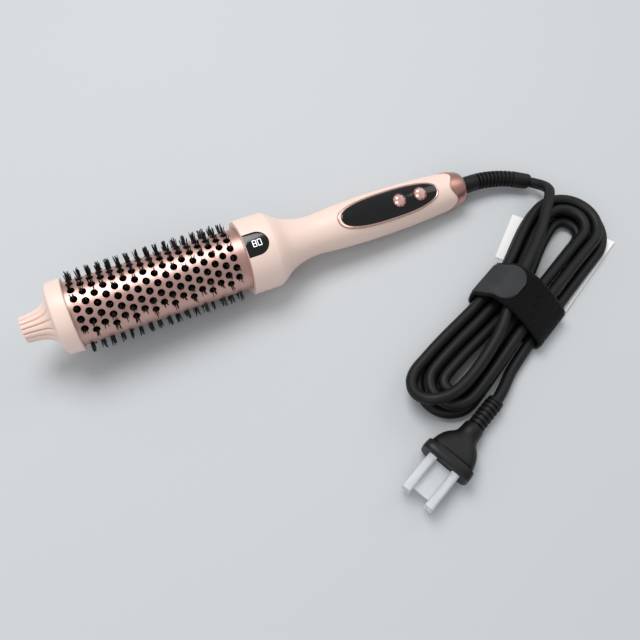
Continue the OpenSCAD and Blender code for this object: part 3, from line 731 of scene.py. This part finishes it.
# ---------------------------------------------------------------- perforated barrel
# Drawn aluminium tube with punched holes, anodised rose gold with a satin gloss. It keeps
# its CAD shape.


def rose_gold(name, colour, roughness):
    return metal(name, colour, roughness, grain=0.05, brushed=0.15, scale=700)


finish_node("barrel", rose_gold("rose-gold barrel", linear(206, 168, 158), 0.4))

# ---------------------------------------------------------------- bristle tufts
# Tufts of stiff black nylon, cut at slightly different heights, stand on a black sleeve
# inside the barrel and come out of its holes, except along the barrel's bare seam strip.
RINGS = 17
RING_HOLES = 20
FIRST_RING = 27.0
RING_PITCH = 4.77
TUFT_STRANDS = 6
STRAND_FOOT_R = 13.6
STRAND_TOP_R = 20.9
STRAND_THICK = 0.00036
SEAM_TURN = 76.5
SEAM_HALF = 18.0
SLEEVE_START = 24.7
SLEEVE_END = 105.6
SLEEVE_R = 14.3
SLEEVE_BORE_R = 12.5


def tuft_tree():
    """Strands that stand out of each point along its own outward way, splayed at random."""
    tree, given = new_tree("tufts", [
        ("Strands", "Int"), ("Thickness", "Float"), ("Length", "Float"), ("Spread", "Float"),
        ("Splay", "Float"), ("Seed", "Int"), ("Material", "Material")])
    out = add_node(tree, "GeometryNodeInputNamedAttribute", {"Name": "out"},
                   data_type="FLOAT_VECTOR").outputs["Attribute"]
    points = add_node(tree, "GeometryNodeMeshToPoints", {"Mesh": given["Geometry"]})
    copies = add_node(tree, "GeometryNodeDuplicateElements", {
        "Geometry": points.outputs["Points"], "Amount": given["Strands"]}, domain="POINT")
    toss = random_vector(tree, given["Seed"], (-1, -1, -1), (1, 1, 1))
    rise = add_node(tree, "ShaderNodeVectorMath", {0: toss, 1: out}, operation="DOT_PRODUCT")
    along = vector_math(tree, "SCALE", {0: out, "Scale": rise.outputs["Value"]})
    sideways = vector_math(tree, "SUBTRACT", {0: toss, 1: along})
    shift = vector_math(tree, "SCALE", {0: sideways, "Scale": given["Spread"]})
    placed = add_node(tree, "GeometryNodeSetPosition", {
        "Geometry": copies.outputs["Geometry"], "Offset": shift})
    lean = vector_math(tree, "SCALE", {0: sideways, "Scale": given["Splay"]})
    way = vector_math(tree, "ADD", {0: out, 1: lean})
    cut = random_vector(tree, 5, (1, 1, 0.84), (1, 1, 1))
    stand_up(tree, given, placed.outputs["Geometry"], way, 5, 0.00017, cut)
    return tree


def tuft_feet():
    """One point in the middle of each hole, which knows its outward way."""
    feet, ways = [], []
    step = 360 / RING_HOLES
    for ring in range(RINGS):
        along = FIRST_RING + ring * RING_PITCH
        for hole in range(RING_HOLES):
            turn = hole * step + (0 if ring % 2 else step / 2)
            if abs(turn - SEAM_TURN) < SEAM_HALF:
                continue
            foot = on_brush(along, turn, STRAND_FOOT_R)
            feet.append(foot)
            ways.append((on_brush(along, turn, STRAND_FOOT_R + 1) - foot).normalized())
    mesh = bpy.data.meshes.new("tuft feet")
    mesh.from_pydata([tuple(p) for p in feet], [], [])
    outward = mesh.attributes.new("out", "FLOAT_VECTOR", "POINT")
    for i, way in enumerate(ways):
        outward.data[i].vector = way
    return mesh


black_nylon = vinyl("black nylon bristle", linear(10, 9, 9), 0.4, speck=0.3, bump=0.0,
                    shine=0.35)
tufts = make_object("bristle_tufts", tuft_feet())
grow(tufts, tuft_tree(), {
    "Strands": TUFT_STRANDS, "Thickness": STRAND_THICK,
    "Length": (STRAND_TOP_R - STRAND_FOOT_R) * MM, "Spread": 0.0006, "Splay": 0.09, "Seed": 3,
    "Material": black_nylon})
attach(tufts, "brush")
sleeve_mesh = solid_mesh("bristle sleeve", lathe_rows([
    (SLEEVE_START, SLEEVE_BORE_R), (SLEEVE_START, SLEEVE_R), (SLEEVE_END, SLEEVE_R),
    (SLEEVE_END, SLEEVE_BORE_R), (SLEEVE_START, SLEEVE_BORE_R)], 64), 35)
soot_black = vinyl("soot-black sleeve", linear(4, 4, 4), 0.95, bump=0.0, shine=0.05)
sleeve = make_object("bristle_sleeve", sleeve_mesh, soot_black)
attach(sleeve, "brush")
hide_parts("bristles")
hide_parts("bristles")

# ---------------------------------------------------------------- cool tip
# Pink moulded tip that stays cool to hold: a round disc over the barrel's end and a
# fluted neck that flares into it.
FLUTES = 16
FLUTE_DEPTH = 1.05
NECK = [(0, 6.3), (0.5, 6.55), (3, 6.8), (6, 7.15), (9, 8.0), (11, 9.0), (13, 10.9), (14.3, 13.2),
        (15.2, 15.6)]


def flute(turn, amount):
    """Depth of the narrow grooves at a turn round the neck."""
    near = abs(((turn * FLUTES / 360) % 1) - 0.5) * 2
    groove = max(0.0, 1 - near / 0.34) ** 0.8
    return amount * (FLUTE_DEPTH * groove + 0.22 * (1 - near) ** 2)


def tip_rows():
    rows = []
    sides = FLUTES * 20
    profile = [(p.x, p.y) for p in through([(s, r, 0) for s, r in NECK], 5)]
    turns = [360 * j / sides for j in range(sides)]
    rows.append([on_brush(4.5, t, 4.2) for t in turns])
    rows.append([on_brush(0.25, t, 4.2) for t in turns])
    rows.append([on_brush(0, t, 4.45) for t in turns])
    rows.append([on_brush(0, t, 6.1 - flute(t, 1)) for t in turns])
    for s, r in profile:
        fade = 1 - ease((s - 13.9) / 1.9)
        rows.append([on_brush(s, t, r - flute(t, fade)) for t in turns])
    for s, r in ((15.5, 16.9), (15.75, 17.6), (16.1, 17.95), (16.6, 18.05), (22.6, 18.48),
                 (23.1, 18.42), (23.4, 18.1), (23.4, 16.05)):
        rows.append([on_brush(s, t, r) for t in turns])
    return rows


def satin_plastic(name, colour, roughness=0.42):
    """Fine-grained moulded plastic with a soft gloss and a faint clear coat."""
    material = vinyl(name, colour, roughness, speck=0.015, bump=0.08, scale=1400)
    shader = material.node_tree.nodes["Principled BSDF"]
    shader.inputs["Coat Weight"].default_value = 0.08
    shader.inputs["Coat Roughness"].default_value = 0.35
    return material


tip_mesh = solid_mesh("cool tip", tip_rows(), 50)
pink = satin_plastic("pink satin plastic", linear(240, 213, 200))
cool_tip = make_object("cool_tip_moulding", tip_mesh, pink)
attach(cool_tip, "brush")
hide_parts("cool_tip")

# ---------------------------------------------------------------- handle
# Pink moulded shell: a wide collar round the barrel's root, a slim waist and a full grip.
# The real one is two halves that meet along the sides; here it is one closed skin, with
# round bores for the button caps.
COLLAR = [(110.35, 19.62), (114, 19.7), (118, 19.76), (122, 19.8), (124.9, 19.74), (125.9, 19.4),
          (127.2, 18.7), (129.2, 17.35), (131, 15.95), (133, 14.7), (136, 13.25), (140, 11.9),
          (144, 11.1), (148, 10.75), (152, 10.72), (156, 11.05), (160, 11.4), (164, 11.72),
          (170, 12.05), (178, 12.38), (186, 12.5), (196, 12.45), (206, 12.2), (216, 11.75),
          (224, 11.25), (230, 10.7), (234, 10.25), (237, 9.5)]
WALL = 2.0
BUTTONS = {"power": 197.8, "mode": 210.4}
CAP_R = 3.7
BORE_GAP = 0.2


def handle_radius(along):
    for (s0, r0), (s1, r1) in zip(COLLAR, COLLAR[1:]):
        if along <= s1:
            return r0 + (r1 - r0) * max(0.0, (along - s0) / (s1 - s0))
    return COLLAR[-1][1]


def handle_rows():
    outer = [(p.x, p.y) for p in through([(s, r, 0) for s, r in COLLAR], 4)]
    front = [(121, 17.6), (112.1, 17.6), (112.1, 16.15), (110.1, 16.15), (110.0, 16.3),
             (110.0, 19.2), (110.1, 19.45)]
    back = [(238.2, 9.0), (238.2, 5.3), (236, 5.3)]
    inner = [(s, handle_radius(s) - WALL) for s in range(228, 126, -6)]
    return lathe_rows(front + outer + back + inner + front[:1], 160)


def over_panel(along, side, up):
    """Point above the grip's middle line, square to it."""
    angle = PANEL_ROLL
    return on_axis(along, side * math.cos(angle) - up * math.sin(angle),
                   side * math.sin(angle) + up * math.cos(angle))


def ring_of(along, radius, up, sides=64, offset=0.0):
    """Ring of points round a button's middle, at a height above the brush axis."""
    return [over_panel(along + radius * math.cos(a), radius * math.sin(a), up)
            for a in around(sides, offset)]


def bore_for_buttons(piece, sharp_angle):
    """Cut the round holes that the button caps move in, and keep the result as the mesh."""
    modifiers = []
    for along in BUTTONS.values():
        bore = grid_mesh("bore", [ring_of(along, CAP_R + BORE_GAP, up) for up in (6, 20)],
                         caps=(True, True))
        face_outwards(bore)
        modifier = piece.modifiers.new("bore", "BOOLEAN")
        modifier.operation = "DIFFERENCE"
        modifier.solver = "EXACT"
        modifier.object = make_object("bore", bore)
        modifiers.append(modifier)
    view = bpy.context.evaluated_depsgraph_get()
    bored = bpy.data.meshes.new_from_object(piece.evaluated_get(view))
    for modifier in modifiers:
        cutter = modifier.object
        piece.modifiers.remove(modifier)
        bpy.data.objects.remove(cutter)
    piece.data = bored
    smooth(bored, sharp_angle)


handle_mesh = grid_mesh("handle shell", handle_rows())
face_outwards(handle_mesh)
handle = make_object("handle_shell", handle_mesh, pink)
bore_for_buttons(handle, 40)
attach(handle, "brush")
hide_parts("handle_upper", "handle_lower")

# ---------------------------------------------------------------- tail cap
# Rose-gold metal cap pressed over the handle's rear end. Its front edge waves round the
# grip.
CAP_EDGE = 231.8
CAP_WAVE = 1.9


def cap_rows():
    rows = []
    sides = 160
    turns = [-360 * j / sides for j in range(sides)]
    edges = [CAP_EDGE - CAP_WAVE * math.cos(math.radians(4 * (t - 7))) for t in turns]
    for part, lift in ((0, 0.0), (0, 0.2), (0.08, 0.3), (0.3, 0.3), (0.6, 0.3), (1, 0.3)):
        rows.append([on_brush(e + (236 - e) * part, t,
                              handle_radius(e + (236 - e) * part) + lift)
                     for e, t in zip(edges, turns)])
    for s, r in ((237.5, 9.65), (239, 9.2), (240, 8.75), (240.7, 8.2), (HANDLE_END, 7.6),
                 (HANDLE_END, 5.2), (239.5, 5.2)):
        rows.append([on_brush(s, t, r) for t in turns])
    return rows


cap_mesh = solid_mesh("tail cap", cap_rows(), 35)
trim_finish = rose_gold("rose-gold trim", linear(196, 150, 138), 0.36)
tail_cap = make_object("tail_cap_shell", cap_mesh, trim_finish)
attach(tail_cap, "brush")
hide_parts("tail_cap")

# ---------------------------------------------------------------- display window
# Smoked glossy lens, flat at the collar's lip and round behind. The reading is drawn as
# white bars just above it, with a painted glow.
DISPLAY_W = 12.3
DISPLAY_LEN = 11.9
DISPLAY_START = 110.15


def gloss_black(name):
    material = vinyl(name, linear(8, 8, 8), 0.12, speck=0.1, bump=0.0, shine=0.35)
    shader = material.node_tree.nodes["Principled BSDF"]
    shader.inputs["Coat Weight"].default_value = 0.3
    shader.inputs["Coat Roughness"].default_value = 0.05
    return material


def display_half_width(along):
    """Half the window's width, as an arc, at a distance from its straight edge."""
    radius = DISPLAY_W / 2
    past = along - (DISPLAY_LEN - radius)
    return radius if past <= 0 else math.sqrt(max(0.0, radius * radius - past * past))


def wrapped(along, across, lift):
    """Point over the handle's surface: across is an arc from the panel's middle line."""
    radius = handle_radius(along)
    return on_brush(along, math.degrees(across / radius), radius + lift)


def display_rows():
    rows = []
    steps = 28
    across = 20
    for i in range(steps + 1):
        along = DISPLAY_LEN * math.sin(math.pi / 2 * i / steps)
        half = display_half_width(along)
        rim = 0.02 if i in (0, steps) else 0.14
        row = []
        for j in range(across + 1):
            f = 2 * j / across - 1
            lift = 0.02 if j in (0, across) else rim
            row.append(wrapped(DISPLAY_START + along, -half * f, lift))
        rows.append(row)
    return rows


lens_mesh = grid_mesh("display lens", display_rows(), closed=False)
smooth(lens_mesh, 60)
display = make_object("display_window", lens_mesh, gloss_black("smoked window"))
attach(display, "brush")
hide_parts("display_lens")

# Digits of the temperature, in plain white bars with a painted glow
SEGMENTS = {"0": "abcdef", "8": "abcdefg"}
DIGIT_H = 3.1
DIGIT_W = 1.7
DIGIT_STEP = 2.6
BAR = 0.34


def digit_bars(digit, start):
    """Boxes (along, across from, to) of a digit's bars, up towards the panel's far side."""
    low, middle, high = -DIGIT_H / 2, 0.0, DIGIT_H / 2
    left, right, half = start, start + DIGIT_W, BAR / 2
    bars = {
        "a": (left, right, high - half, high + half), "g": (left, right, -half, half),
        "d": (left, right, low - half, low + half),
        "b": (right - half, right + half, middle, high),
        "f": (left - half, left + half, middle, high),
        "c": (right - half, right + half, low, middle),
        "e": (left - half, left + half, low, middle)}
    return [bars[name] for name in SEGMENTS[digit]]


def digits_mesh(number, start):
    points, faces = [], []
    for n, digit in enumerate(number):
        for s0, s1, u0, u1 in digit_bars(digit, start + n * DIGIT_STEP):
            base = len(points)
            for lift in (0.12, 0.19):
                for s, u in ((s0, u0), (s1, u0), (s1, u1), (s0, u1)):
                    points.append(tuple(wrapped(s, -u, lift)))
            faces.append((base + 4, base + 5, base + 6, base + 7))
            for j in range(4):
                k = (j + 1) % 4
                faces.append((base + j, base + k, base + 4 + k, base + 4 + j))
    mesh = bpy.data.meshes.new("digits with painted glow")
    mesh.from_pydata(points, [], faces)
    return mesh


def painted_glow_bars():
    material = vinyl("digit bars with painted glow", linear(235, 238, 240), 0.4, speck=0.03, bump=0.0)
    shader = material.node_tree.nodes["Principled BSDF"]
    # The bars' emission is a painted glow: the plug lies unplugged on the table, so the display gives no light.
    shader.inputs["Emission Color"].default_value = (0.9, 0.95, 1, 1)
    shader.inputs["Emission Strength"].default_value = 0.7
    return material


digits = make_object("display_digits", digits_mesh("80", 113.9), painted_glow_bars())
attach(digits, "brush")

# ---------------------------------------------------------------- control panel
# Long glossy black plastic panel let into the grip, inside a thin rose-gold ring with a high
# polish, painted paler as a highlight, with a dark band of painted shade where the ring meets the grip.
PANEL_MIDDLE = 192.1
PANEL_LEN = 58.6
PANEL_W = 15.0
TRIM_W = 0.85
PANEL_FULLNESS = 2.5
FACE_LEN = 57.6
FACE_W = 14.7
FACE_SHIFT = 0.5
UNDERSIDE = -0.6


def oval_point(angle, grow, lift):
    """Point of the panel's outline, grown by an amount and lifted off the grip."""
    c, s = squared(angle, PANEL_FULLNESS)
    along, side = c * (PANEL_LEN / 2 + grow), s * (PANEL_W / 2 + grow)
    radius = handle_radius(PANEL_MIDDLE + along)
    turn = math.degrees(math.asin(max(-1, min(1, side / radius))))
    return on_brush(PANEL_MIDDLE + along, -turn, radius + lift)


def oval_rows(steps):
    return [[oval_point(a, grow, lift) for a in around(160)] for grow, lift in steps]


def panel_rows():
    """Rings from the panel's middle to its edge, and back again on its underside."""
    rows = []
    parts = [0.02] + [k / 14 for k in range(1, 14)] + [0.965, 0.985, 1.0]
    for part, top in [(part, True) for part in parts] + [(part, False) for part in parts[::-1]]:
        row = []
        rise = (0.4 if part < 0.97 else 0.34 if part < 0.99 else 0.1) if top else UNDERSIDE
        for c, s in (squared(a, PANEL_FULLNESS) for a in around(160)):
            along = c * FACE_LEN / 2 * part + FACE_SHIFT
            radius = handle_radius(PANEL_MIDDLE + along)
            turn = math.degrees(math.asin(s * FACE_W / 2 * part / radius))
            row.append(on_brush(PANEL_MIDDLE + along, -turn, radius + rise))
        rows.append(row)
    return rows


panel_mesh = grid_mesh("control panel", panel_rows(), caps=(True, True))
face_outwards(panel_mesh)
panel = make_object("control_panel", panel_mesh, gloss_black("glossy black panel"))
bore_for_buttons(panel, 60)
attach(panel, "brush")
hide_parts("panel")
trim_mesh = solid_mesh("panel trim", oval_rows([
    (-1.2, -0.2), (-1.2, 0.12), (-0.05, 0.3), (0.15, 0.5), (0.4, 0.55), (0.6, 0.45),
    (TRIM_W - 0.2, 0.2), (TRIM_W - 0.2, -0.2)]), 60)
# The ring's rose gold is set paler than the trim's: a painted highlight, on top of its low roughness.
ring_gold_with_highlight = rose_gold("glossy rose-gold ring with painted highlight", linear(228, 186, 174), 0.22)
trim = make_object("panel_trim_ring", trim_mesh, ring_gold_with_highlight)
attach(trim, "brush")
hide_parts("panel_trim")
# Thin dark rose band on the grip round the ring: painted shade where the ring meets the grip.
shade_band_mesh = grid_mesh("shade band round the ring", oval_rows([
    (TRIM_W - 0.22, -0.1), (TRIM_W - 0.22, 0.04), (TRIM_W, 0.04), (TRIM_W, -0.1)]))
face_outwards(shade_band_mesh)
gap_shade = vinyl("painted gap shade", linear(70, 44, 40), 0.8, bump=0.0)
ring_shade_band = make_object("panel_ring_shade_band", shade_band_mesh, gap_shade)
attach(ring_shade_band, "brush")

# ---------------------------------------------------------------- buttons
# Each button is a turned rose-gold cap with a cut pink crystal set in it. It moves down a
# bore in the panel and the shell.
CRYSTAL_R = 3.3
CRYSTAL_SIDES = 9


def button_cap_mesh(name, along):
    """Turned cap, from pairs of height above the brush axis and radius."""
    pairs = [(8.2, 0.01), (8.2, 3.5), (8.4, CAP_R), (13.0, CAP_R), (13.28, CAP_R - 0.08),
             (13.4, CAP_R - 0.2), (13.4, CAP_R - 0.32), (13.2, CRYSTAL_R + 0.04), (12.9, 3.2),
             (12.9, 0.01)]
    return solid_mesh(name, [ring_of(along, r, up) for up, r in pairs], 40)


def crystal_mesh(name, along):
    """Cut crystal: girdle, main facets, star facets and a flat table."""
    count = CRYSTAL_SIDES
    rows = [ring_of(along, radius, up, count, offset) for up, radius, offset in (
        (13.0, CRYSTAL_R - 0.3, 0), (13.25, CRYSTAL_R, 0), (13.95, 2.6, 0.5), (14.45, 1.7, 0))]
    faces = [tuple(reversed(range(count)))]
    for i in range(3):
        for j in range(count):
            k = (j + 1) % count
            low, high = i * count, (i + 1) * count
            if i == 0:
                faces.append((low + j, low + k, high + k, high + j))
            elif i == 1:
                faces += [(low + j, low + k, high + j), (low + k, high + k, high + j)]
            else:
                faces += [(low + j, high + k, high + j), (low + j, low + k, high + k)]
    faces.append(tuple(range(3 * count, 4 * count)))
    mesh = bpy.data.meshes.new(name)
    mesh.from_pydata([tuple(p) for row in rows for p in row], [], faces)
    face_outwards(mesh)
    return mesh


def crystal():
    """Pink glassy finish with painted facet glints: its tone changes from cell to cell."""
    material, tree, shader = new_material("cut pink crystal")
    place = add_node(tree, "ShaderNodeTexCoord").outputs["Object"]
    # Paler and darker cells of pink stand for facets that catch the light: painted reflection.
    facet_glint = add_node(tree, "ShaderNodeTexVoronoi", {"Scale": 420, "Vector": place})
    tone = add_node(tree, "ShaderNodeMix", {
        "A": linear(224, 160, 150), "B": linear(252, 216, 208),
        "Factor": facet_glint.outputs["Distance"]}, data_type="RGBA")
    tree.links.new(tone.outputs["Result"], shader.inputs["Base Color"])
    shader.inputs["Roughness"].default_value = 0.05
    shader.inputs["Metallic"].default_value = 0.6
    shader.inputs["Coat Weight"].default_value = 0.8
    shader.inputs["Coat Roughness"].default_value = 0.03
    return material


pink_crystal = crystal()
for name, along in BUTTONS.items():
    body = name + "_button"
    cap = make_object(name + "_button_cap", button_cap_mesh(name + " cap", along), trim_finish)
    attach(cap, body)
    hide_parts(body)
    jewel = make_object(name + "_button_crystal", crystal_mesh(name + " crystal", along), pink_crystal)
    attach(jewel, body)
    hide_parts(name + "_jewel")

# ---------------------------------------------------------------- inside the brush
# What the shells hide keeps its CAD shape: heater, sensors, boards, wires and swivel. Each
# piece only gets the finish of its material.
inside = {
    metal("turned steel", linear(190, 190, 192), 0.3): ["spindle", "spindle_nut", "handle_screws"],
    metal("extruded aluminium", linear(196, 198, 202), 0.4): ["heat_spreader"],
    vinyl("ivory insulator", linear(226, 220, 202), 0.5, 0.03, 0.1): [
        "front_bushing", "rear_bushing", "contact_carrier", "thermal_fuse"],
    vinyl("heater ceramic", linear(92, 95, 100), 0.6, 0.1, 0.2): [
        "heater_plate_upper", "heater_plate_lower"],
    vinyl("amber film", linear(196, 128, 40), 0.2, 0.1, 0.0): [
        "heater_film_upper", "heater_film_lower"],
    vinyl("green board", linear(30, 110, 66), 0.4, 0.15, 0.05): ["display_board", "control_board"],
    vinyl("black part", linear(34, 34, 36), 0.4): [
        "temperature_sensor", "digit_block", "button_switches", "power_switch_chip",
        "swivel_sleeve"],
    vinyl("blue capacitor sleeve", linear(34, 58, 130), 0.3, 0.1, 0.0): ["capacitor"],
    vinyl("red wire", linear(176, 48, 40), 0.45, 0.05, 0.05): ["heater_wires"],
    vinyl("blue wire", linear(48, 96, 168), 0.45, 0.05, 0.05): ["supply_wires"],
}
for material, names in inside.items():
    for name in names:
        finish_node(name, material)
